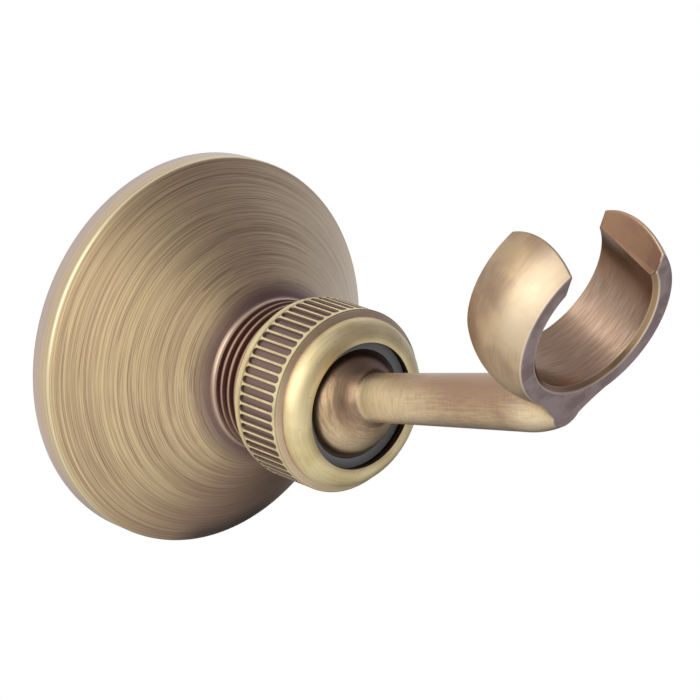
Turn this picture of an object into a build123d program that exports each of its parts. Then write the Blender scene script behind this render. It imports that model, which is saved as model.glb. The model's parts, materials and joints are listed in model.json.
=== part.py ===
from build123d import *
import math
import os

# Hand shower holder in millimetres. The wall is the plane y = 0, the holder stands out along -Y,
# +Z is up, and the origin is the centre of the flange's back.

# Fits
RUNNING_CLEARANCE = 0.06
SEAT_CLEARANCE = 0.05
FACE_CLEARANCE = 0.05

# Wall flange
FLANGE_RADIUS = 34.5
RIM_DEPTH = 4.4
RIM_WALL = 3.2
RIM_EDGE_RADIUS = 0.6
CONE_HEIGHT = 17.9
CONE_BULGE = 0.25
CONE_WALL = 2.1
NECK_FILLET = 0.8
SCREW_HOLE_RADIUS = 3.25
SCREW_HOLE_LENGTH = 3.05
COUNTERSINK_WIDTH = 2.95

# Neck, with the rings of a three-quarter inch pipe thread where the nut leaves it bare
BARE_NECK = 8.1
NECK_WALL = 2.77
THREAD_PITCH = 1.814
THREAD_DEPTH = 1.16
THREAD_CREST = 0.45
THREAD_RUNOUT = 0.45

# Ball joint; the distances are from the ball's centre back towards the wall
BALL_RADIUS = 10.6
NECK_SETBACK = 3.0
NUT_BORE_SETBACK = 0.2
SEAT_SETBACK = 4.2
SEAT_LIP = 0.6
SEAT_BACK = 1.2
SEAT_HOLE_RADIUS = 4.5

# Clamp nut
NUT_WALL = 2.5
NUT_CHAMFER = 0.5
COLLAR_WIDTH = 1.9
COLLAR_STEP = 0.37
KNURL_WIDTH = 9.5
SLOT_COUNT = 60
SLOT_WIDTH = 1.16
SLOT_DEPTH = 0.55
SLOT_BACK_LAND = 0.3
SLOT_FRONT_LAND = 0.55
GROOVE_WIDTH = 0.9
GROOVE_DEPTH = 1.17
LIP_LENGTH = 2.8
LIP_BULGE = 1.25
LIP_OVER_BALL = 0.19
LIP_LAND = 0.7
LIP_GAP = 0.3

# Friction ring; the distances are from the ball's centre out along the flange axis
RING_BACK = 1.0
RING_SHOULDER = 4.3
RING_FRONT = 5.2
RING_TO_LIP_EDGE = 1.7
RING_EYE_LAND = 0.07
RING_NOSE_WALL = 1.65
RING_SHOULDER_WIDTH = 0.99
RING_SPLIT_START = 140.0
RING_SPLIT_ANGLE = 16.0

# Arm
ARM_LENGTH = 57.3
ARM_TILT = 12.75
ARM_ROOT_RADIUS = 4.1
ARM_TIP_RADIUS = 4.65
ARM_FILLET = 3.0
TAIL_LENGTH = 6.0
TAIL_END_RADIUS = 0.9

# Cradle, an open ring across the end of the arm
CRADLE_ANGLE = 34.5
CRADLE_HEIGHT = 13.4
CRADLE_NEAR_WALL = 3.25
CRADLE_FAR_WALL = 2.3
CRADLE_BULGE = 1.72
BORE_RADIUS = 11.55
BORE_TAPER = 0.55
BORE_CHAMFER = 0.8
BORE_ABOVE_ARM = 0.45
TIP_HOOK = 2.15
CASTING_EDGE_RADIUS = 0.35
JUNCTION_FILLET = 1.6

# Heel, where the cradle's near face runs on to the arm's tail between two hollow sweeps
HEEL_SWEEP = 30.0
HEEL_THICKNESS = 4.0
HEEL_BELOW_ARM = 1.3
HEEL_END_RADIUS = 2.8


def ball_height(radius, reach):
    """Distance along the axis from the ball's centre at which a sphere of this radius has that reach."""
    return math.sqrt(radius ** 2 - reach ** 2)


# Depths from the wall, stacked from the flange out to the lip, which sets the ball's place
CONE_DEPTH = RIM_DEPTH + CONE_HEIGHT
NUT_BACK_DEPTH = CONE_DEPTH + BARE_NECK
KNURL_START_DEPTH = NUT_BACK_DEPTH + COLLAR_WIDTH
KNURL_END_DEPTH = KNURL_START_DEPTH + KNURL_WIDTH
LIP_EDGE_DEPTH = KNURL_END_DEPTH + GROOVE_WIDTH + LIP_LENGTH
BALL_DEPTH = LIP_EDGE_DEPTH - RING_TO_LIP_EDGE - RING_FRONT
NECK_END_DEPTH = BALL_DEPTH - NECK_SETBACK
SEAT_BACK_DEPTH = BALL_DEPTH - BALL_RADIUS - SEAT_BACK

# Radii, built up from the ball's socket out to the nut
SOCKET_SPHERE = BALL_RADIUS + SEAT_CLEARANCE
SEAT_RADIUS = ball_height(SOCKET_SPHERE, SEAT_SETBACK) + SEAT_LIP
THREAD_RADIUS = SEAT_RADIUS + RUNNING_CLEARANCE + NECK_WALL
NUT_RADIUS = THREAD_RADIUS + NUT_WALL
RING_EYE_RADIUS = ball_height(SOCKET_SPHERE, RING_FRONT) + RING_EYE_LAND
RING_NOSE_RADIUS = RING_EYE_RADIUS + RING_NOSE_WALL
RING_FLANGE_RADIUS = RING_NOSE_RADIUS + RING_SHOULDER_WIDTH

# The arm's axis runs just under the cradle's bore
CRADLE_RISE = BORE_RADIUS + BORE_ABOVE_ARM
CRADLE_SLANT = math.tan(math.radians(CRADLE_ANGLE))
CRADLE_NEAR_RADIUS = BORE_RADIUS + CRADLE_NEAR_WALL
CRADLE_FAR_RADIUS = BORE_RADIUS + BORE_TAPER + CRADLE_FAR_WALL
CRADLE_BULGE_RADIUS = (CRADLE_NEAR_RADIUS + CRADLE_FAR_RADIUS) / 2 + CRADLE_BULGE
GAP_WIDTH = 2 * (BORE_RADIUS - TIP_HOOK)

# Turned profiles are drawn as (radius, depth from the wall) and spun about the flange axis
TURNING = Plane(origin=(0, 0, 0), x_dir=(1, 0, 0), z_dir=(0, 0, -1))
FLANGE_AXIS = Axis((0, 0, 0), (0, -1, 0))

# The casting's profiles are drawn as (radius, height), with the seam of the spin out of sight
SPUN_FROM_TOP = Plane(origin=(0, 0, 0), x_dir=(0, 1, 0), z_dir=(1, 0, 0))
SPUN_FROM_BELOW = Plane(origin=(0, 0, 0), x_dir=(0, -1, 0), z_dir=(-1, 0, 0))


def turned(*edges):
    """Solid of revolution about the flange axis from a closed profile of (radius, depth) edges."""
    return revolve(TURNING * make_face(list(edges)), axis=FLANGE_AXIS)


def polygon_turned(*points):
    """Solid of revolution about the flange axis from a closed polygon of (radius, depth) points."""
    return turned(*Polyline(*points, close=True).edges())


def bulged(start, end, bulge):
    """Arc from start to end that stands out by the bulge, to the left of the way from start to end."""
    dx = end[0] - start[0]
    dy = end[1] - start[1]
    length = math.hypot(dx, dy)
    middle = ((start[0] + end[0]) / 2 - dy / length * bulge, (start[1] + end[1]) / 2 + dx / length * bulge)
    return ThreePointArc(start, middle, end)


def make_wall_flange():
    """Turned flange with a hollow back, a threaded neck and the socket for the ball seat."""
    seat_floor = SEAT_BACK_DEPTH - FACE_CLEARANCE
    socket_radius = SEAT_RADIUS + RUNNING_CLEARANCE
    rim_corner = (FLANGE_RADIUS, RIM_DEPTH)
    cone_top = (THREAD_RADIUS, CONE_DEPTH)
    outline = [
        Line((0, 0), (FLANGE_RADIUS, 0)),
        Line((FLANGE_RADIUS, 0), rim_corner),
        bulged(cone_top, rim_corner, CONE_BULGE),
        Line(cone_top, (THREAD_RADIUS, NECK_END_DEPTH)),
        Line((THREAD_RADIUS, NECK_END_DEPTH), (0, NECK_END_DEPTH)),
        Line((0, NECK_END_DEPTH), (0, 0)),
    ]
    flange = turned(*outline)
    circles = flange.edges().filter_by(GeomType.CIRCLE)
    rim_edge = circles.filter_by(lambda e: abs(e.center().Y + RIM_DEPTH) < 0.01)
    flange = fillet(rim_edge, RIM_EDGE_RADIUS)
    circles = flange.edges().filter_by(GeomType.CIRCLE)
    neck_edge = circles.filter_by(lambda e: abs(e.center().Y + CONE_DEPTH) < 0.01)
    flange = fillet(neck_edge, NECK_FILLET)

    # hollow back, parallel to the cone
    slope = (CONE_DEPTH - RIM_DEPTH) / (FLANGE_RADIUS - THREAD_RADIUS)
    countersink_depth = seat_floor - COUNTERSINK_WIDTH
    floor_back = countersink_depth - SCREW_HOLE_LENGTH
    hollow_radius = FLANGE_RADIUS - RIM_WALL
    hollow_depth = RIM_DEPTH + RIM_WALL * slope - CONE_WALL * math.hypot(1, slope)
    floor_radius = hollow_radius - (floor_back - hollow_depth) / slope
    flange -= polygon_turned(
        (0, 0), (hollow_radius, 0), (hollow_radius, hollow_depth), (floor_radius, floor_back), (0, floor_back)
    )

    # socket and countersunk screw hole
    flange -= polygon_turned(
        (0, seat_floor), (socket_radius, seat_floor), (socket_radius, NECK_END_DEPTH), (0, NECK_END_DEPTH)
    )
    flange -= polygon_turned(
        (0, floor_back), (SCREW_HOLE_RADIUS, floor_back), (SCREW_HOLE_RADIUS, countersink_depth),
        (SCREW_HOLE_RADIUS + COUNTERSINK_WIDTH, seat_floor), (0, seat_floor)
    )

    # thread grooves on the stretch of neck that the nut leaves bare
    thread_start = CONE_DEPTH + THREAD_RUNOUT
    groove_count = math.ceil((NUT_BACK_DEPTH - thread_start) / THREAD_PITCH)
    groove_half = (THREAD_PITCH - THREAD_CREST) / 2
    for i in range(groove_count):
        middle = thread_start + (i + 0.5) * THREAD_PITCH
        flange -= polygon_turned(
            (THREAD_RADIUS - THREAD_DEPTH, middle), (THREAD_RADIUS + THREAD_CREST, middle - groove_half),
            (THREAD_RADIUS + THREAD_CREST, middle + groove_half)
        )
    return flange


def make_ball_seat():
    """Plastic cup behind the ball, with a hole at its middle."""
    front = BALL_DEPTH - SEAT_SETBACK
    cup = polygon_turned(
        (SEAT_HOLE_RADIUS, SEAT_BACK_DEPTH), (SEAT_RADIUS, SEAT_BACK_DEPTH), (SEAT_RADIUS, front),
        (SEAT_HOLE_RADIUS, front)
    )
    return cup - Pos(0, -BALL_DEPTH, 0) * Sphere(SOCKET_SPHERE)


def make_clamp_nut():
    """Knurled nut on the neck's thread, with a rounded lip that holds the friction ring in."""
    bore = THREAD_RADIUS + RUNNING_CLEARANCE
    bore_end = BALL_DEPTH - NUT_BORE_SETBACK
    collar = NUT_RADIUS - COLLAR_STEP
    cavity = RING_FLANGE_RADIUS + RUNNING_CLEARANCE
    shoulder = BALL_DEPTH + RING_SHOULDER + FACE_CLEARANCE
    opening = BALL_RADIUS + LIP_OVER_BALL
    recess = RING_NOSE_RADIUS + LIP_GAP
    lip_root = (NUT_RADIUS - GROOVE_DEPTH, KNURL_END_DEPTH + GROOVE_WIDTH / 2)
    lip_edge = (opening, LIP_EDGE_DEPTH)
    lip_back = LIP_EDGE_DEPTH - LIP_LAND
    outline = Polyline(
        lip_edge, (opening, lip_back), (recess, lip_back), (recess, shoulder), (cavity, shoulder),
        (cavity, bore_end), (bore, bore_end),
        (bore, NUT_BACK_DEPTH + NUT_CHAMFER), (bore + NUT_CHAMFER, NUT_BACK_DEPTH),
        (collar - NUT_CHAMFER, NUT_BACK_DEPTH), (collar, NUT_BACK_DEPTH + NUT_CHAMFER),
        (collar, KNURL_START_DEPTH), (NUT_RADIUS, KNURL_START_DEPTH), (NUT_RADIUS, KNURL_END_DEPTH), lip_root
    )
    nut = turned(*outline.edges(), bulged(lip_edge, lip_root, LIP_BULGE))

    # round-ended slots, cut in towards the axis
    slot_length = KNURL_WIDTH - SLOT_BACK_LAND - SLOT_FRONT_LAND
    slot_middle = KNURL_START_DEPTH + SLOT_BACK_LAND + slot_length / 2
    floor = Plane(origin=(0, -slot_middle, NUT_RADIUS - SLOT_DEPTH), x_dir=(0, -1, 0), z_dir=(0, 0, 1))
    cutter = extrude(floor * SlotOverall(slot_length, SLOT_WIDTH), amount=2 * SLOT_DEPTH)
    cutters = [Rot(0, 360 * i / SLOT_COUNT, 0) * cutter for i in range(SLOT_COUNT)]
    return nut - cutters


def make_friction_ring():
    """Split plastic ring between the nut's lip and the ball."""
    back = BALL_DEPTH + RING_BACK
    shoulder = BALL_DEPTH + RING_SHOULDER
    front = BALL_DEPTH + RING_FRONT
    ring = polygon_turned(
        (RING_EYE_RADIUS, back), (RING_FLANGE_RADIUS, back), (RING_FLANGE_RADIUS, shoulder),
        (RING_NOSE_RADIUS, shoulder), (RING_NOSE_RADIUS, front), (RING_EYE_RADIUS, front)
    )
    ring -= Pos(0, -BALL_DEPTH, 0) * Sphere(SOCKET_SPHERE)
    reach = 2 * RING_FLANGE_RADIUS
    half_angle = math.radians(RING_SPLIT_ANGLE / 2)
    wedge = Polyline(
        (0, 0), (reach, -reach * math.tan(half_angle)), (reach, reach * math.tan(half_angle)), close=True
    )
    middle = math.radians(RING_SPLIT_START + RING_SPLIT_ANGLE / 2)
    split = Plane(origin=(0, 0, 0), x_dir=(math.cos(middle), 0, math.sin(middle)), z_dir=(0, -1, 0))
    return ring - extrude(split * make_face(wedge.edges()), amount=LIP_EDGE_DEPTH)


def make_ball_and_arm():
    """Ball and tapering arm spun about +Z, with the ball's centre at the origin and a narrowing tail."""
    fillet_reach = ARM_ROOT_RADIUS + ARM_FILLET
    fillet_height = ball_height(BALL_RADIUS + ARM_FILLET, fillet_reach)
    share = BALL_RADIUS / (BALL_RADIUS + ARM_FILLET)
    on_ball = (fillet_reach * share, fillet_height * share)
    on_arm = (ARM_ROOT_RADIUS, fillet_height)

    # the tail starts to narrow before the underside meets the cradle's near face
    near_face_lean = ARM_TIP_RADIUS * CRADLE_SLANT
    tail_start = (ARM_TIP_RADIUS, ARM_LENGTH - near_face_lean - TAIL_LENGTH)
    tail_end = (TAIL_END_RADIUS, ARM_LENGTH + near_face_lean)
    side = Line(on_arm, tail_start)
    profile = [
        RadiusArc((0, -BALL_RADIUS), on_ball, -BALL_RADIUS),
        RadiusArc(on_ball, on_arm, ARM_FILLET),
        side,
        TangentArc(tail_start, tail_end, tangent=side % 1),
        Line(tail_end, (0, tail_end[1])),
        Line((0, tail_end[1]), (0, -BALL_RADIUS)),
    ]
    return revolve(SPUN_FROM_BELOW * make_face(profile), axis=Axis.Z)


def make_cradle_drum():
    """Cradle ring before it is bored and opened: a drum with a bulged side and its near face at z = 0."""
    near = (CRADLE_NEAR_RADIUS, 0)
    far = (CRADLE_FAR_RADIUS, -CRADLE_HEIGHT)
    widest = (CRADLE_BULGE_RADIUS, -CRADLE_HEIGHT / 2)
    profile = [
        Line((0, 0), near),
        ThreePointArc(near, widest, far),
        Line(far, (0, -CRADLE_HEIGHT)),
        Line((0, -CRADLE_HEIGHT), (0, 0)),
    ]
    return revolve(SPUN_FROM_TOP * make_face(profile), axis=Axis.Z)


def make_cradle_bore():
    """Tapered bore for a hand shower's cone, with a lead-in chamfer at the near face."""
    profile = Polyline(
        (0, 0), (BORE_RADIUS + BORE_CHAMFER, 0), (BORE_RADIUS, -BORE_CHAMFER),
        (BORE_RADIUS + BORE_TAPER, -CRADLE_HEIGHT), (0, -CRADLE_HEIGHT), close=True
    )
    return revolve(SPUN_FROM_TOP * make_face(profile.edges()), axis=Axis.Z)


def make_heel():
    """Heel below the cradle, with its top at z = 0: hollow sweeps from the near rim in to the arm's tail."""
    end_drop = CRADLE_RISE / math.cos(math.radians(CRADLE_ANGLE)) + HEEL_BELOW_ARM
    rim_reach = CRADLE_NEAR_RADIUS + HEEL_SWEEP
    end_reach = HEEL_END_RADIUS + HEEL_SWEEP
    drop = (rim_reach ** 2 - end_reach ** 2 + end_drop ** 2) / (2 * end_drop)
    spread = math.sqrt(rim_reach ** 2 - drop ** 2)
    rim_share = CRADLE_NEAR_RADIUS / rim_reach
    end_share = HEEL_END_RADIUS / end_reach
    rim_x = spread * rim_share
    rim_y = -drop * rim_share
    end_x = spread * end_share
    end_y = -end_drop - (drop - end_drop) * end_share
    outline = [
        RadiusArc((rim_x, rim_y), (end_x, end_y), -HEEL_SWEEP),
        Line((end_x, end_y), (-end_x, end_y)),
        RadiusArc((-end_x, end_y), (-rim_x, rim_y), -HEEL_SWEEP),
        Line((-rim_x, rim_y), (rim_x, rim_y)),
    ]
    heel = extrude(make_face(outline), amount=-HEEL_THICKNESS)
    sweeps = heel.edges().filter_by(GeomType.CIRCLE)
    return fillet(sweeps.filter_by(lambda e: e.center().Z > -HEEL_THICKNESS / 2), CASTING_EDGE_RADIUS)


def make_cradle_arm():
    """One casting: ball, arm and open cradle, drawn with the arm along +Z."""
    cradle_reach = ARM_LENGTH + CRADLE_RISE * CRADLE_SLANT
    cradle = Location((0, CRADLE_RISE, cradle_reach), (CRADLE_ANGLE, 0, 0))
    near_plane = Plane(cradle)
    casting = make_ball_and_arm()

    # the arm ends flush with the cradle's near face and rises into the ring in a soft valley
    trim = 4 * CRADLE_BULGE_RADIUS
    casting -= cradle * Pos(0, 0, trim / 2) * Box(trim, trim, trim)
    casting += cradle * make_cradle_drum()
    crossings = casting.edges().filter_by(GeomType.BSPLINE)
    valley = crossings.filter_by(lambda e: near_plane.to_local_coords(e.center()).Z < -CASTING_EDGE_RADIUS)
    casting = fillet(valley, JUNCTION_FILLET)

    # tapered bore, and the gap that lets the hose in
    casting -= cradle * make_cradle_bore()
    casting -= cradle * Pos(0, CRADLE_BULGE_RADIUS, 0) * Box(GAP_WIDTH, 2 * CRADLE_BULGE_RADIUS, trim)

    # polished edges round the near face and the two tips
    flats = casting.faces().filter_by(GeomType.PLANE)
    near_face = flats.sort_by(Axis((0, 0, 0), near_plane.z_dir))[-1]
    middle_of_wall = BORE_RADIUS + (BORE_CHAMFER + CRADLE_NEAR_WALL) / 2
    bore_mouth = near_face.edges().filter_by(GeomType.CIRCLE).filter_by(lambda e: e.radius < middle_of_wall)
    tips = flats.filter_by(Axis.X)
    casting = fillet(near_face.edges() - bore_mouth + tips.edges(), CASTING_EDGE_RADIUS)
    return casting + cradle * make_heel()


def place_arm(shape):
    """Carries a shape from the arm's own frame to the tilted arm on the wall."""
    tilt = math.radians(ARM_TILT)
    direction = (0, -math.cos(tilt), math.sin(tilt))
    return Plane(origin=(0, -BALL_DEPTH, 0), x_dir=(1, 0, 0), z_dir=direction).location * shape


nodes = {
    "wall_flange": make_wall_flange(),
    "ball_seat": make_ball_seat(),
    "friction_ring": make_friction_ring(),
    "clamp_nut": make_clamp_nut(),
    "cradle_arm": place_arm(make_cradle_arm()),
}

os.makedirs("parts", exist_ok=True)
for name, shape in nodes.items():
    export_step(shape, f"parts/{name}.step")
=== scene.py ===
import json
import math

import bpy
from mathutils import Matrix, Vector


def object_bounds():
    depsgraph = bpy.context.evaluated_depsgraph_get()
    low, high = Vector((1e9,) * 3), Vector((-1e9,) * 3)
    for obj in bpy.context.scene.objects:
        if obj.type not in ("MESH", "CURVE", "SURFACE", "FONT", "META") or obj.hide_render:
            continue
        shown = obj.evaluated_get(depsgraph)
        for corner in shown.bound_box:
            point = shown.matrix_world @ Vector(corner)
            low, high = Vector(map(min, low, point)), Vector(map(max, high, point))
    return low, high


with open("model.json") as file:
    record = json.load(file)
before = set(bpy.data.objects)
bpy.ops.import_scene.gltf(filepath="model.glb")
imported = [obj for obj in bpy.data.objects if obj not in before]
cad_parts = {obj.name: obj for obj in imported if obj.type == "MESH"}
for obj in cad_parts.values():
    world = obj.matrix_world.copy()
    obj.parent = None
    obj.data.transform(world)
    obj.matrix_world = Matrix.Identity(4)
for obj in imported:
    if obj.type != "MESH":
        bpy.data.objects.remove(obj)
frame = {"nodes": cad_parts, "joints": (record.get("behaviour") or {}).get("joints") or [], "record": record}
cad_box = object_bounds()

# Hand shower holder of antique brass: turned flange and neck, knurled nut, cast arm with an open cradle.
# The frame is in metres, and finishes are laid out in millimetres.
MM = 0.001
MOUNTS = {mount["name"]: mount for mount in frame["record"]["mounts"]}
JOINTS = {joint["name"]: joint for joint in frame["joints"]}

# Turned pieces, as radius and depth from the wall, read off the flange and the nut.
# A pair is the range over which a tone comes in. East and low are parts of the direction round the axis.
RIM_DEPTH = 4.4
RIM_EDGE = (33.7, 34.0)
SHEEN_EAST = (0.1, 0.8)
SHADE_EDGE = (28.5, 33.8)
SHADE_EDGE_EAST = (-0.08, 0.22)
SHADE_EDGE_LOW = (-0.4, -0.7)
ROSE_EAST = (-0.8, -0.2)
ROSE_LOW = (-0.2, -0.8)
NECK_DEPTH = 22.3
NECK_RADIUS = 13.22
THREAD_START = 22.75
THREAD_PITCH = 1.814
KNURL_BACK_DEPTH = 32.3
KNURL_FRONT_DEPTH = 41.8
KNURL_RADIUS = 15.72
SLOT_COUNT = 60
SLOT_ROUND = 0.58
SLOT_BACK_DEPTH = 32.6
SLOT_FRONT_DEPTH = 41.25
SLOT_FLOOR_RADIUS = 15.17
GROOVE_FRONT_DEPTH = 42.7
GROOVE_RADIUS = 14.55
LIP_FRONT_DEPTH = 45.5
LIP_EYE_RADIUS = 10.79
LIP_RECESS_RADIUS = 11.31

# The casting: where its ball sits, which way its arm runs, and its cradle's middle and axis
BALL_CENTRE = Vector(JOINTS["swivel"]["pos_m"]) / MM
SIDEWAYS = Vector((1, 0, 0))
ARM_RISE = math.radians(12.75)
ARM_WAY = Vector((0, -math.cos(ARM_RISE), math.sin(ARM_RISE)))
ARM_UP = Vector((0, math.sin(ARM_RISE), math.cos(ARM_RISE)))
CRADLE_CENTRE = Vector(MOUNTS["cradle"]["pos_m"]) / MM
CRADLE_OUT = -Vector(MOUNTS["cradle"]["axis"])
CRADLE_UP = CRADLE_OUT.cross(SIDEWAYS)
CRADLE_HALF = 6.7
BORE_RADIUS = 11.55
BORE_CHAMFER = 0.8
TIP_SPREAD = 9.4
NEVER_ZERO = 0.01

# Ranges over which the casting's tones come in or fade, along the arm from the ball's centre
BLEND_SPAN = (8.2, 10.4)
ROOT_IN = (10.6, 11.2)
ROOT_OUT = (30.0, 13.0)
FLANK_IN = (9.0, 12.0)
FLANK_OUT = (38.0, 18.0)
STROKES_IN = (14.0, 30.0)
UPPER_SPAN = (20.0, 44.0)
COPPER_SPAN = (34.0, 44.0)
HEEL_IN = (45.0, 51.0)
LOW_SIDE_OUT = (9.5, 7.0)
TOP_OUT = (13.0, 10.0)
CRADLE_IN = (40.0, 46.0)

# The same above the arm's axis, and as the upward or sideways part of the direction round it
BLEND_ABOVE = (-5.5, -2.0)
LOW_SIDE_ABOVE = (-1.5, -6.0)
TOP_ABOVE = (2.0, 5.0)
BALL_BACK = (5.5, 0.0)
COPPER_UPWARD = (-0.6, 0.7)
UPPER_UPWARD = (0.25, 0.7)
HEEL_UPWARD = (0.5, -0.3)
FLANK_FACING = (0.45, 0.90)
ROOT_FACING = (0.3, 0.8)

# The same round the cradle: from its axis, up from it, and out along it towards the near face
CRADLE_EDGE = (18.5, 16.0)
FLAT_EDGE = (13.4, 13.9)
LOBE_LOW = (6.0, -6.0)
LOBE_BACK = (1.0, -6.0)
CROWN_LIFT = (-9.0, 6.0)
CROWN_OUT = (-2.0, 4.5)
BORE_LOW = (-7.5, -11.0)
BORE_HIGH = (-4.0, 2.0)
TIP_LIFT = (5.0, 6.5)


class Field:
    """A socket of a material's nodes; arithmetic on number fields adds Math nodes."""

    def __init__(self, finish, socket):
        self.finish = finish
        self.socket = socket

    def __add__(self, other):
        return self.finish.math("ADD", self, other)

    def __sub__(self, other):
        return self.finish.math("SUBTRACT", self, other)

    def __rsub__(self, other):
        return self.finish.math("SUBTRACT", other, self)

    def __mul__(self, other):
        return self.finish.math("MULTIPLY", self, other)

    def __truediv__(self, other):
        return self.finish.math("DIVIDE", self, other)

    def __neg__(self):
        return self.finish.math("MULTIPLY", self, -1)

    __radd__ = __add__
    __rmul__ = __mul__


class Finish:
    """The nodes of one material or of the studio's surroundings."""

    def __init__(self, tree):
        self.tree = tree
        tree.nodes.clear()

    def add(self, kind, settings=None, inputs=None, output=0):
        """Adds a node, sets its settings, then its sockets, and gives back one of its outputs."""
        node = self.tree.nodes.new("ShaderNode" + kind)
        for name, value in (settings or {}).items():
            setattr(node, name, value)
        for name, value in (inputs or {}).items():
            if isinstance(value, Field):
                self.tree.links.new(value.socket, node.inputs[name])
            else:
                node.inputs[name].default_value = value
        return Field(self, node.outputs[output]) if node.outputs else None

    def math(self, operation, *values):
        return self.add("Math", {"operation": operation}, dict(enumerate(values)))

    def vector(self, operation, *values, output=0):
        return self.add("VectorMath", {"operation": operation}, dict(enumerate(values)), output)

    def combine(self, x, y, z):
        return self.add("CombineXYZ", None, {0: x, 1: y, 2: z})

    def step(self, value, low, high):
        """0 below low, 1 above high and smooth between; high may be the lower of the two."""
        sockets = {"Value": value, "From Min": low, "From Max": high}
        return self.add("MapRange", {"interpolation_type": "SMOOTHSTEP"}, sockets)

    def band(self, value, low, high, soft):
        """1 between low and high, falling to 0 over the soft width outside them."""
        return self.step(value, low - soft, low) * self.step(value, high + soft, high)

    def noise(self, place, scale=1.0, detail=2.0, roughness=0.5):
        sockets = {"Vector": place, "Scale": scale, "Detail": detail, "Roughness": roughness}
        return self.add("TexNoise", None, sockets)

    def mix(self, share, first, second):
        """Colour that goes from the first to the second as the share goes from 0 to 1."""
        colours = [value if isinstance(value, Field) else (*value, 1) for value in (first, second)]
        return self.add("Mix", {"data_type": "RGBA"}, {0: share, 6: colours[0], 7: colours[1]}, 2)

    def bump(self, height, distance, strength):
        sockets = {"Height": height, "Distance": distance * MM, "Strength": strength}
        return self.add("Bump", None, sockets)


def new_finish(name):
    material = bpy.data.materials.new(name)
    material.use_nodes = True
    return material, Finish(material.node_tree)


def surface(finish, **sockets):
    """Closes a material with one Principled surface."""
    named = {name.replace("_", " "): value for name, value in sockets.items()}
    shader = finish.add("BsdfPrincipled", None, named)
    finish.add("OutputMaterial", None, {"Surface": shader})


def place_in_mm(finish):
    place = finish.add("TexCoord", output=3)
    return finish.add("VectorMath", {"operation": "SCALE"}, {"Vector": place, "Scale": 1 / MM})


def turned_place(finish):
    """Radius, depth from the wall, and the two parts of the direction round the flange axis."""
    place = place_in_mm(finish)
    x = finish.add("SeparateXYZ", None, {0: place}, 0)
    y = finish.add("SeparateXYZ", None, {0: place}, 1)
    z = finish.add("SeparateXYZ", None, {0: place}, 2)
    radius = finish.math("SQRT", x * x + z * z)
    return radius, -y, x / radius, z / radius


# Brass colours, from freshly brushed metal to the brown of its patina; some of them are painted light and
# shade
FLANGE_BRIGHT = (0.69, 0.54, 0.31)
FLANGE_BROWN = (0.40, 0.275, 0.175)
FLANGE_WEAR_AND_HIGHLIGHT = (0.80, 0.69, 0.46)
RIM_MAUVE = (0.50, 0.40, 0.375)
ROSE_BROWN = (0.45, 0.22, 0.19)
FOOT_MAUVE = (0.19, 0.118, 0.108)
THREAD_CREST = (0.56, 0.42, 0.32)
THREAD_BROWN = (0.175, 0.09, 0.075)
NUT_BRIGHT = (0.84, 0.715, 0.425)
NUT_BROWN = (0.66, 0.535, 0.28)
NUT_MAUVE = (0.55, 0.395, 0.30)
SLOT_BROWN = (0.27, 0.18, 0.16)
SLOT_WALL = (0.50, 0.38, 0.30)
SLOT_EDGE_BROWN = (0.20, 0.13, 0.105)
SHADOW_BROWN = (0.10, 0.07, 0.05)
CAST_WEAR_AND_SHEEN = (0.70, 0.545, 0.345)
ROOT_BRIGHT = (0.90, 0.73, 0.47)
CROWN_WEAR_AND_HIGHLIGHT = (0.74, 0.60, 0.42)
ARM_COPPER = (0.40, 0.245, 0.155)
CAST_BRIGHT = (0.54, 0.385, 0.222)
CAST_BROWN = (0.36, 0.24, 0.15)
BALL_BROWN = (0.22, 0.14, 0.095)
BORE_LIGHT = (0.43, 0.295, 0.212)
BORE_DARK = (0.30, 0.195, 0.13)
CHAMFER_BROWN = (0.36, 0.23, 0.125)
TIP_COPPER = (0.345, 0.19, 0.13)
TIP_GOLD = (0.38, 0.225, 0.135)
LOBE_BROWN = (0.37, 0.25, 0.17)
FLAT_MAUVE = (0.38, 0.29, 0.285)
FLAT_SHADE = (0.27, 0.20, 0.195)
BORE_DEEP = (0.20, 0.115, 0.075)
EDGE_PALE = (0.74, 0.62, 0.50)

# Plastic colours, the darker and the paler of each mottle
RING_DARK = (0.205, 0.21, 0.215)
RING_PALE = (0.26, 0.265, 0.27)
SEAT_DARK = (0.05, 0.05, 0.055)
SEAT_PALE = (0.08, 0.08, 0.085)


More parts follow.
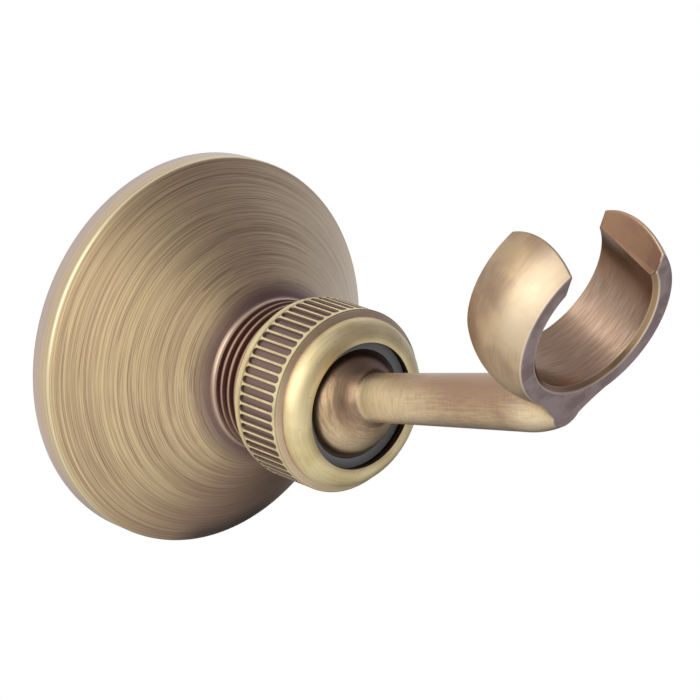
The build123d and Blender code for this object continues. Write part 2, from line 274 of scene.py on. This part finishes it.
def make_flange_brass():
    """Brass brushed in rings on the lathe, smooth on the rim's side and brown between the thread's crests,
    with painted shade at its lower right edge and round the neck's foot, and a painted sheen on its right
    side.
    """
    material, finish = new_finish("flange_brass")
    radius, depth, east, up = turned_place(finish)
    profile = depth - radius
    hairs = finish.noise(finish.combine(east * 0.8, up * 0.8, profile * 4.8), detail=1.0)
    dashes = finish.noise(finish.combine(east * 7.0, up * 7.0, profile * 4.4), detail=0.0)
    lines = finish.noise(finish.combine(east * 0.5, up * 0.5, profile * 1.9), detail=2.0, roughness=0.6)
    bands = finish.noise(finish.combine(east * 0.4, up * 0.4, profile * 0.4), detail=1.0)
    on_side = finish.step(depth, RIM_DEPTH - 0.3, RIM_DEPTH - 0.9)
    # painted sheen: the brown marks and scratches thin out on the right side
    sheen_calm = 1 - finish.step(east, *SHEEN_EAST) * 0.45
    tone = hairs * 0.52 + dashes * 0.11 + lines * 0.23 + bands * 0.14
    brown = finish.step(tone, 0.38, 0.62) * (1 - on_side * 0.4) * sheen_calm
    scores = finish.noise(finish.combine(east * 1.3, up * 1.3, profile * 4.2 + 40.0), detail=0.0)
    scratches = finish.step(scores, 0.62, 0.68) * (1 - on_side) * sheen_calm
    metal = finish.mix(brown * 0.85, FLANGE_BRIGHT, FLANGE_BROWN)
    metal = finish.mix(scratches * 0.5, metal, THREAD_BROWN)
    metal = finish.mix(finish.step(depth, RIM_DEPTH - 0.7, 0.8) * 0.75, metal, RIM_MAUVE)
    # worn edge and painted highlight: a thin pale line along the rim's front edge
    on_edge = finish.band(depth, RIM_DEPTH - 0.4, RIM_DEPTH + 0.05, 0.12) * finish.step(radius, *RIM_EDGE)
    metal = finish.mix(on_edge * 0.85, metal, FLANGE_WEAR_AND_HIGHLIGHT)

    # the lower side is rosier, and painted shade darkens its front edge at the lower right
    rosy = finish.step(up, *ROSE_LOW) * finish.step(east, *ROSE_EAST)
    metal = finish.mix(rosy * 0.4, metal, ROSE_BROWN)
    low_right_shade = finish.band(east, *SHADE_EDGE_EAST, 0.25) * finish.step(up, *SHADE_EDGE_LOW) * (1 - on_side)
    metal = finish.mix(low_right_shade * finish.step(radius, *SHADE_EDGE) * 0.8, metal, SHADOW_BROWN)

    # the neck has thin bright lines on its thread's crests, and mauve patina with painted shade round its
    # foot
    on_neck = finish.step(depth, NECK_DEPTH - 0.4, NECK_DEPTH + 0.2)
    off_crest = finish.math("FRACT", (depth - THREAD_START) / THREAD_PITCH + 0.5) - 0.5
    off_crest = finish.math("ABSOLUTE", off_crest) * THREAD_PITCH
    at_foot = finish.step(depth, THREAD_START + 0.45, THREAD_START + 0.35)
    crest_line = finish.math("MAXIMUM", finish.step(off_crest, 0.28, 0.12), at_foot)
    crest = finish.step(radius, NECK_RADIUS - 0.1, NECK_RADIUS - 0.03) * crest_line
    metal = finish.mix(on_neck, metal, finish.mix(crest, THREAD_BROWN, THREAD_CREST))
    near_neck = finish.step(radius, NECK_RADIUS + 4.2, NECK_RADIUS + 0.4) * (1 - on_neck)
    metal = finish.mix(near_neck * 0.92, metal, FOOT_MAUVE)
    roughness = 0.33 + brown * 0.10
    normal = finish.bump((hairs * 0.5 + lines * 0.5) * (1 - on_side), 0.010, 0.5)
    surface(finish, Base_Color=metal, Metallic=1.0, Roughness=roughness, Normal=normal)
    return material


def make_nut_brass():
    """Satin brass, worn bright on the ridges and lip, with brown left in the slots and grooves, and painted
    shade along the slots, at the knurl's back step and in the eye behind the lip.
    """
    material, finish = new_finish("nut_brass")
    radius, depth, east, up = turned_place(finish)
    place = place_in_mm(finish)
    rub = finish.combine(east * 1.6, up * 1.6, (depth - radius) * 1.6)
    rub = finish.noise(rub, detail=3.0, roughness=0.6)
    smudge = finish.noise(place, scale=0.17, detail=2.0)
    metal = finish.mix(finish.step(rub * 0.4 + smudge * 0.6, 0.36, 0.68), NUT_BRIGHT, NUT_BROWN)
    in_groove = finish.band(depth, KNURL_FRONT_DEPTH + 0.12, GROOVE_FRONT_DEPTH - 0.15, 0.12)
    in_groove = in_groove * finish.step(radius, GROOVE_RADIUS + 0.95, GROOVE_RADIUS + 0.75)
    metal = finish.mix(in_groove * 0.75, metal, NUT_MAUVE)

    # painted shade darkens both sides of each ridge along the slots, leaving a thin bright line on its top
    pitch = 2 * math.pi * KNURL_RADIUS / SLOT_COUNT
    turn = finish.math("ARCTAN2", east, up) * (SLOT_COUNT / (2 * math.pi))
    off_ridge = finish.math("ABSOLUTE", finish.math("FRACT", turn) - 0.5) * pitch
    beside = finish.band(depth, SLOT_BACK_DEPTH + SLOT_ROUND, SLOT_FRONT_DEPTH - SLOT_ROUND, 0.3)
    edge = finish.step(off_ridge, 0.14, 0.22) * beside
    in_knurl = finish.band(depth, KNURL_BACK_DEPTH + 0.1, KNURL_FRONT_DEPTH - 0.1, 0.08)
    wall = finish.step(radius, KNURL_RADIUS - 0.04, KNURL_RADIUS - 0.14) * in_knurl
    metal = finish.mix(edge * 0.75, metal, SLOT_EDGE_BROWN)
    metal = finish.mix(wall, metal, SLOT_WALL)
    on_floor = finish.step(radius, SLOT_FLOOR_RADIUS + 0.2, SLOT_FLOOR_RADIUS + 0.08) * in_knurl
    metal = finish.mix(on_floor, metal, SLOT_BROWN)
    # painted shade along the step behind the knurl, and a dark line at the knurl's front edge
    step_shade = finish.band(depth, KNURL_BACK_DEPTH - 0.05, KNURL_BACK_DEPTH + 0.40, 0.10)
    groove_line = finish.band(depth, KNURL_FRONT_DEPTH - 0.04, KNURL_FRONT_DEPTH + 0.06, 0.05)
    metal = finish.mix(finish.math("MAXIMUM", step_shade, groove_line) * 0.5, metal, SLOT_EDGE_BROWN)
    specks = finish.step(finish.noise(place, scale=1.7, detail=1.0), 0.72, 0.78)
    metal = finish.mix(specks * 0.5, metal, SLOT_EDGE_BROWN)
    behind_lip = finish.step(radius, LIP_RECESS_RADIUS + 0.12, LIP_RECESS_RADIUS + 0.04)
    behind_lip = behind_lip * finish.step(depth, LIP_FRONT_DEPTH - 0.3, LIP_FRONT_DEPTH - 0.5)
    in_eye = finish.step(radius, LIP_EYE_RADIUS + 0.1, LIP_EYE_RADIUS + 0.02)
    metal = finish.mix(finish.math("MAXIMUM", behind_lip, in_eye), metal, SHADOW_BROWN)
    grain = finish.noise(place, scale=2.4, detail=3.0, roughness=0.6)
    on_lip = finish.step(depth, GROOVE_FRONT_DEPTH - 0.1, GROOVE_FRONT_DEPTH + 0.1)
    roughness = 0.38 + grain * 0.10 + on_lip * 0.07 + wall * 0.2
    normal = finish.bump(grain * 0.5 + rub * 0.5, 0.008, 0.4)
    surface(finish, Base_Color=metal, Metallic=1.0, Roughness=roughness, Normal=normal)
    return material


def dot(finish, place, way):
    return finish.vector("DOT_PRODUCT", place, way, output=1)


class Casting:
    """Where a point of the casting lies: round the arm's axis, and round the cradle's."""

    def __init__(self, finish):
        self.place = place_in_mm(finish)
        from_ball = finish.vector("SUBTRACT", self.place, BALL_CENTRE)
        self.along = dot(finish, from_ball, ARM_WAY)
        self.side = dot(finish, from_ball, SIDEWAYS)
        self.above = dot(finish, from_ball, ARM_UP)
        reach = finish.math("SQRT", self.side * self.side + self.above * self.above) + NEVER_ZERO
        self.side_way = self.side / reach
        self.above_way = self.above / reach
        self.path = self.along - reach
        self.facing = finish.math("ABSOLUTE", self.side_way) * 0.98 + self.above_way * 0.1

        from_cradle = finish.vector("SUBTRACT", self.place, CRADLE_CENTRE)
        self.out = dot(finish, from_cradle, CRADLE_OUT)
        self.lift = dot(finish, from_cradle, CRADLE_UP)
        self.spread = finish.math("SQRT", self.side * self.side + self.lift * self.lift) + NEVER_ZERO
        self.on_cradle = finish.step(self.spread, *CRADLE_EDGE) * finish.step(self.along, *CRADLE_IN)
        self.off_cradle = 1 - self.on_cradle
        self.in_bore = finish.step(self.spread, BORE_RADIUS + 0.75, BORE_RADIUS + 0.65) * self.on_cradle


def casting_marks(finish, cast):
    """Brush marks: arcs on the ball and its root, lengthwise strokes further out, hoops round the cradle."""
    arcs = finish.combine(cast.side_way * 2.6, cast.above_way * 2.6, cast.path * 3.3)
    rubs = finish.combine(cast.side * 2.6, cast.along * 2.6, cast.above * 0.3)
    arcs = finish.noise(arcs, detail=1.0) * 0.62 + finish.noise(rubs, detail=1.0) * 0.38
    strokes = finish.combine(cast.side_way * 13.0, cast.above_way * 13.0, cast.path * 0.3)
    strokes = 0.15 + finish.noise(strokes, detail=2.0) * 0.7
    further_out = finish.step(cast.along, *STROKES_IN) * 0.7
    arm_marks = arcs * (1 - further_out) + strokes * further_out
    hoops = finish.combine(cast.side / cast.spread * 3.2, cast.lift / cast.spread * 3.2, cast.out * 3.8)
    hoops = finish.noise(hoops, detail=1.0)
    return arm_marks * cast.off_cradle + hoops * cast.on_cradle


def casting_tones(finish, cast, brown, stains, at_root):
    """Brown in the marks, patina and painted shade behind the cradle, copper on top of the arm, worn metal
    and painted highlights where hands rub, painted reflection and shade on the ball.
    """
    metal = finish.mix(brown, CAST_BRIGHT, CAST_BROWN)
    # brown patina and painted shade towards the back and the lower side of the cradle
    behind = finish.step(cast.out, *LOBE_BACK) * cast.on_cradle
    behind = behind * (0.35 + finish.step(cast.lift, *LOBE_LOW) * 0.45)
    stains_and_shade = finish.math("MAXIMUM", stains * cast.on_cradle * 0.34, behind)
    metal = finish.mix(stains_and_shade, metal, LOBE_BROWN)
    copper = finish.band(cast.along, *COPPER_SPAN, 10.0) * finish.step(cast.above_way, *COPPER_UPWARD)
    metal = finish.mix(copper * cast.off_cradle * 0.8, metal, ARM_COPPER)
    # wear and painted highlight on the crowns of the cradle's lobes
    crown = finish.step(cast.lift, *CROWN_LIFT) * finish.step(cast.out, *CROWN_OUT) * cast.on_cradle
    metal = finish.mix(crown * (1 - stains * 0.2), metal, CROWN_WEAR_AND_HIGHLIGHT)

    # wear and painted highlight: a pale streak along the arm's flanks and under its far end
    flank = finish.step(cast.along, *FLANK_IN) * finish.step(cast.along, *FLANK_OUT)
    flank = flank * finish.step(cast.facing, *FLANK_FACING)
    heel = finish.step(cast.along, *HEEL_IN) * finish.step(cast.above_way, *HEEL_UPWARD) * 0.9
    rubbed_and_lit = finish.math("MAXIMUM", flank, heel) * cast.off_cradle
    metal = finish.mix(rubbed_and_lit * (1 - brown * 0.5), metal, CAST_WEAR_AND_SHEEN)
    # painted highlight on the sideways faces of the arm's root, and more of the heel's wear and painted
    # highlight
    root = at_root * finish.step(cast.facing, *ROOT_FACING)
    metal = finish.mix(root * (1 - brown * 0.3), metal, ROOT_BRIGHT)
    metal = finish.mix(heel * cast.off_cradle * (1 - brown * 0.4) * 0.7, metal, ROOT_BRIGHT)
    on_upper = finish.band(cast.along, *UPPER_SPAN, 6.0) * finish.step(cast.above_way, *UPPER_UPWARD)
    metal = finish.mix(on_upper * cast.off_cradle * 0.5, metal, ARM_COPPER)

    # painted reflection: the ball's low side is lighter, standing in for the floor mirrored there
    low_side_light = finish.step(cast.above, *LOW_SIDE_ABOVE) * finish.step(cast.along, *LOW_SIDE_OUT)
    metal = finish.mix(low_side_light * (1 - brown * 0.35) * 0.8, metal, CAST_WEAR_AND_SHEEN)
    # a painted dark reflection where the ball blends into the arm, and patina with painted shade on the
    # ball's top and back, under the nut's lip
    at_blend = finish.band(cast.along, *BLEND_SPAN, 0.5) * finish.step(cast.above, *BLEND_ABOVE) * 0.7
    on_top = finish.step(cast.above, *TOP_ABOVE) * finish.step(cast.along, *TOP_OUT) * 0.9
    at_back = finish.step(cast.along - cast.above * 0.45, *BALL_BACK) * 0.85
    shaded = finish.math("MAXIMUM", finish.math("MAXIMUM", on_top, at_back), at_blend)
    return finish.mix(shaded, metal, BALL_BROWN)


def bore_tones(finish, cast, marks):
    """Brushed lining of the cradle's bore, with painted shade at its foot and under its tips."""
    lining = finish.mix(finish.step(marks, 0.22, 0.78), BORE_LIGHT, BORE_DARK)
    foot = finish.step(cast.lift, *BORE_LOW) * 0.65
    under_tips = finish.step(cast.lift, *BORE_HIGH) * 1.5
    return finish.mix(finish.math("MAXIMUM", foot, under_tips) * 0.6, lining, BORE_DEEP)


def cradle_faces(finish, cast, metal, stains):
    """Adds copper tips, a brown chamfer, a mauve near face and pale edges, and tells where it is smooth."""
    across = finish.math("ABSOLUTE", cast.side)
    on_tip = finish.band(across, TIP_SPREAD - 0.12, TIP_SPREAD + 0.05, 0.08)
    on_tip = on_tip * finish.step(cast.lift, *TIP_LIFT)
    metal = finish.mix(on_tip * cast.on_cradle, metal, finish.mix(stains, TIP_COPPER, TIP_GOLD))
    chamfer_out = CRADLE_HALF - BORE_CHAMFER
    on_chamfer = finish.step(cast.out, chamfer_out - 0.02, chamfer_out + 0.08) * cast.in_bore
    metal = finish.mix(on_chamfer, metal, CHAMFER_BROWN)
    on_flat = finish.step(cast.out, CRADLE_HALF - 0.16, CRADLE_HALF - 0.06) * (1 - cast.in_bore)
    metal = finish.mix(on_flat, metal, finish.mix(stains, FLAT_MAUVE, FLAT_SHADE))

    # worn edges and painted highlight: pale lines along the near face's outer edge, the bore's mouth and its
    # chamfer
    outer_edge = finish.band(cast.out, CRADLE_HALF - 0.3, CRADLE_HALF - 0.12, 0.08)
    outer_edge = outer_edge * finish.step(cast.spread, *FLAT_EDGE)
    mouth_edge = finish.band(cast.spread, BORE_RADIUS + 0.66, BORE_RADIUS + 0.84, 0.08)
    mouth_edge = mouth_edge * finish.step(cast.out, CRADLE_HALF - 0.35, CRADLE_HALF - 0.2)
    bore_edge = finish.band(cast.out, chamfer_out - 0.1, chamfer_out + 0.05, 0.06) * cast.in_bore
    worn = finish.math("MAXIMUM", outer_edge, mouth_edge)
    worn = finish.math("MAXIMUM", worn, bore_edge * 0.35)
    metal = finish.mix(worn * 0.75, metal, EDGE_PALE)
    smooth = finish.math("MAXIMUM", finish.math("MAXIMUM", on_tip, on_chamfer), on_flat)
    return metal, smooth


def make_arm_brass():
    """Hand-polished casting: fine brush marks that follow the ball, the arm and the cradle."""
    material, finish = new_finish("arm_brass")
    cast = Casting(finish)
    marks = casting_marks(finish, cast)
    clouds = finish.noise(cast.place, scale=0.14, detail=2.0)
    tone = marks * (0.75 - cast.on_cradle * 0.57) + clouds * (0.25 + cast.on_cradle * 0.57)
    brown = finish.step(tone, 0.39, 0.61)
    stains = finish.step(finish.noise(cast.place, scale=0.2, detail=3.0, roughness=0.6), 0.42, 0.62)
    at_root = finish.step(cast.along, *ROOT_IN) * finish.step(cast.along, *ROOT_OUT)
    metal = casting_tones(finish, cast, brown, stains, at_root)
    metal = finish.mix(cast.in_bore, metal, bore_tones(finish, cast, marks))
    metal, smooth = cradle_faces(finish, cast, metal, stains)

    grain = finish.noise(cast.place, scale=2.5, detail=2.0)
    roughness = 0.27 + cast.on_cradle * 0.13 + marks * 0.12 - cast.in_bore * 0.16 + at_root * 0.22
    depth_of_marks = (1 - smooth) * (1 - cast.on_cradle * 0.9 + cast.in_bore * 0.25)
    height = marks * depth_of_marks + grain * (0.35 - cast.on_cradle * 0.2)
    normal = finish.bump(height, 0.022, 0.6)
    surface(finish, Base_Color=metal, Metallic=1.0, Roughness=roughness, Normal=normal)
    return material


def make_ring_plastic():
    """Slate grey moulded plastic with a dull skin."""
    material, finish = new_finish("ring_plastic")
    place = place_in_mm(finish)
    mottle = finish.noise(place, scale=1.3, detail=4.0)
    colour = finish.mix(mottle, RING_DARK, RING_PALE)
    normal = finish.bump(finish.noise(place, scale=9.0, detail=2.0), 0.01, 0.4)
    surface(finish, Base_Color=colour, Roughness=0.42 + mottle * 0.15, Normal=normal)
    return material


def make_seat_plastic():
    """Plain dark moulded plastic of the hidden ball seat."""
    material, finish = new_finish("seat_plastic")
    place = place_in_mm(finish)
    mottle = finish.noise(place, scale=1.1, detail=4.0)
    colour = finish.mix(mottle, SEAT_DARK, SEAT_PALE)
    surface(finish, Base_Color=colour, Roughness=0.45 + mottle * 0.15)
    return material


def dress_nodes():
    """Gives each CAD piece its finish."""
    finishes = {
        "wall_flange": make_flange_brass(),
        "clamp_nut": make_nut_brass(),
        "cradle_arm": make_arm_brass(),
        "friction_ring": make_ring_plastic(),
        "ball_seat": make_seat_plastic(),
    }
    for name, material in finishes.items():
        mesh = frame["nodes"][name].data
        mesh.materials.clear()
        mesh.materials.append(material)


# Studio: a large soft lamp on the left, and a pale floor that is dim round one place at the right
FLOOR_DROP = 0.25
FLOOR_WIDTH = 3.0
FLOOR_LENGTH = 6.0
FLOOR_EDGE = 0.55
FLOOR_DIM_PLACE = Vector((0.32, 0.10, 0))
FLOOR_DIM_REACH = 0.6
FLOOR_SHADE = (0.04, 0.04, 0.045)
FLOOR_PAPER = (0.8, 0.8, 0.8, 1)
WHITE = (1, 1, 1)
LIGHT_TARGET = Vector((0, -0.045, 0.005))
KEY_SIDE = math.radians(-84)
KEY_HEIGHT = math.radians(30)
KEY_DISTANCE = 1.0
KEY_SIZE = 1.1
KEY_POWER = 5.0


def direction(side, height):
    """Unit vector at an angle round from -Y towards +X, and a height above the horizon."""
    return Vector((math.sin(side) * math.cos(height), -math.cos(side) * math.cos(height), math.sin(height)))


def background_rays(finish):
    """Rays that show the background: those straight to the camera, and those off metal or through glass."""
    straight = finish.add("LightPath", output="Is Camera Ray")
    mirrored = finish.add("LightPath", output="Is Glossy Ray")
    through = finish.add("LightPath", output="Is Transmission Ray")
    return straight, finish.math("MAXIMUM", mirrored, through)


def make_floor():
    """Pale studio floor, well below the holder, which hangs on a wall that isn't there."""
    bpy.ops.object.select_all(action="DESELECT")
    middle = Vector((FLOOR_EDGE - FLOOR_WIDTH / 2, 0, cad_box[0].z - FLOOR_DROP))
    bpy.ops.mesh.primitive_plane_add(size=1.0, location=middle)
    floor = bpy.context.object
    floor.name = "studio_floor"
    floor.scale = (FLOOR_WIDTH, FLOOR_LENGTH, 1)
    bpy.ops.object.transform_apply(location=False, rotation=False, scale=True)
    material, finish = new_finish("studio_floor")
    straight, bounced = background_rays(finish)
    place = finish.add("TexCoord", output=3)
    # painted shade: the floor's glow, as the metal mirrors it, dims round one place at the right
    dim_place = Vector((FLOOR_DIM_PLACE.x - middle.x, FLOOR_DIM_PLACE.y - middle.y, 0))
    lamplight = finish.step(finish.vector("DISTANCE", place, dim_place, output=1), 0.0, FLOOR_DIM_REACH)
    colour = finish.mix(finish.math("MAXIMUM", straight, lamplight), FLOOR_SHADE, WHITE)
    paper = finish.add("BsdfDiffuse", None, {"Color": FLOOR_PAPER})
    white = finish.add("Emission", None, {"Color": colour, "Strength": 1.0})
    lit = finish.add("MixShader", None, {0: finish.math("MAXIMUM", straight, bounced), 1: paper, 2: white})
    finish.add("OutputMaterial", None, {"Surface": lit})
    floor.data.materials.append(material)


def make_lamp(name, side, height, distance, size, power):
    data = bpy.data.lights.new(name, "AREA")
    data.shape = "RECTANGLE"
    data.size = size
    data.size_y = size
    data.energy = power
    lamp = bpy.data.objects.new(name, data)
    bpy.context.scene.collection.objects.link(lamp)
    way = direction(side, height)
    lamp.location = LIGHT_TARGET + way * distance
    lamp.rotation_euler = way.to_track_quat("Z", "Y").to_euler()


# Surroundings, as the metal shows them: pale at the left, cool at the right, a dark spot beside the camera,
# and white behind
BRIGHT_SIDE = direction(math.radians(-80), math.radians(-5))
BRIGHT_COLOUR = (0.92, 0.90, 0.87)
DIM_COLOUR = (0.27, 0.255, 0.30)
DIM_CORNER = direction(math.radians(-16), math.radians(2))
CORNER_COLOUR = (0.15, 0.14, 0.15)
RIGHT_SIDE = direction(math.radians(105), math.radians(0))
RIGHT_COLOUR = (0.50, 0.52, 0.68)
BACKDROP_SIDE = direction(math.radians(180), math.radians(8))
BACKDROP_COLOUR = (0.92, 0.95, 1.0)

# How near to each of those directions its colour comes in, as the cosine of the angle between
BRIGHT_SPREAD = (-0.35, 0.75)
RIGHT_SPREAD = (0.45, 0.95)
CORNER_SPREAD = (0.92, 0.985)
BACKDROP_SPREAD = (0.15, 0.5)


def make_surroundings():
    """White to the camera; in the metal, a room that is pale on the left, cooler and dimmer on the right."""
    world = bpy.data.worlds.new("studio")
    bpy.context.scene.world = world
    world.use_nodes = True
    finish = Finish(world.node_tree)
    way = finish.add("TexCoord", output=0)
    room = finish.mix(finish.step(dot(finish, way, BRIGHT_SIDE), *BRIGHT_SPREAD), DIM_COLOUR, BRIGHT_COLOUR)
    right = finish.step(dot(finish, way, RIGHT_SIDE), *RIGHT_SPREAD)
    room = finish.mix(right * 0.9, room, RIGHT_COLOUR)
    corner = finish.step(dot(finish, way, DIM_CORNER), *CORNER_SPREAD)
    room = finish.mix(corner * 0.9, room, CORNER_COLOUR)
    straight, bounced = background_rays(finish)
    backdrop = bounced * finish.step(dot(finish, way, BACKDROP_SIDE), *BACKDROP_SPREAD)
    colour = finish.mix(straight, finish.mix(backdrop, room, BACKDROP_COLOUR), WHITE)
    back = finish.add("Background", None, {"Color": colour, "Strength": 1.0})
    finish.add("OutputWorld", None, {"Surface": back})


# Camera, at the photograph's angle; the image is 700 pixels square
CAMERA_SIDE = math.radians(-40.374)
CAMERA_HEIGHT = math.radians(17.088)
CAMERA_DISTANCE = 0.5423
CAMERA_LENS = 158.09
CAMERA_SENSOR = 36.0
CAMERA_RIGHT = 0.027468
CAMERA_UP = -0.000860


def make_camera():
    data = bpy.data.cameras.new("camera")
    data.lens = CAMERA_LENS
    data.sensor_width = CAMERA_SENSOR
    camera = bpy.data.objects.new("camera", data)
    bpy.context.scene.collection.objects.link(camera)
    back = direction(CAMERA_SIDE, CAMERA_HEIGHT)
    right = Vector((math.cos(CAMERA_SIDE), math.sin(CAMERA_SIDE), 0))
    up = back.cross(right)
    camera.location = back * CAMERA_DISTANCE + right * CAMERA_RIGHT + up * CAMERA_UP
    camera.rotation_euler = back.to_track_quat("Z", "Y").to_euler()
    bpy.context.scene.camera = camera


dress_nodes()
make_floor()
make_surroundings()
make_lamp("key_softbox", KEY_SIDE, KEY_HEIGHT, KEY_DISTANCE, KEY_SIZE, KEY_POWER)
make_camera()
bpy.context.scene.view_settings.view_transform = "Standard"
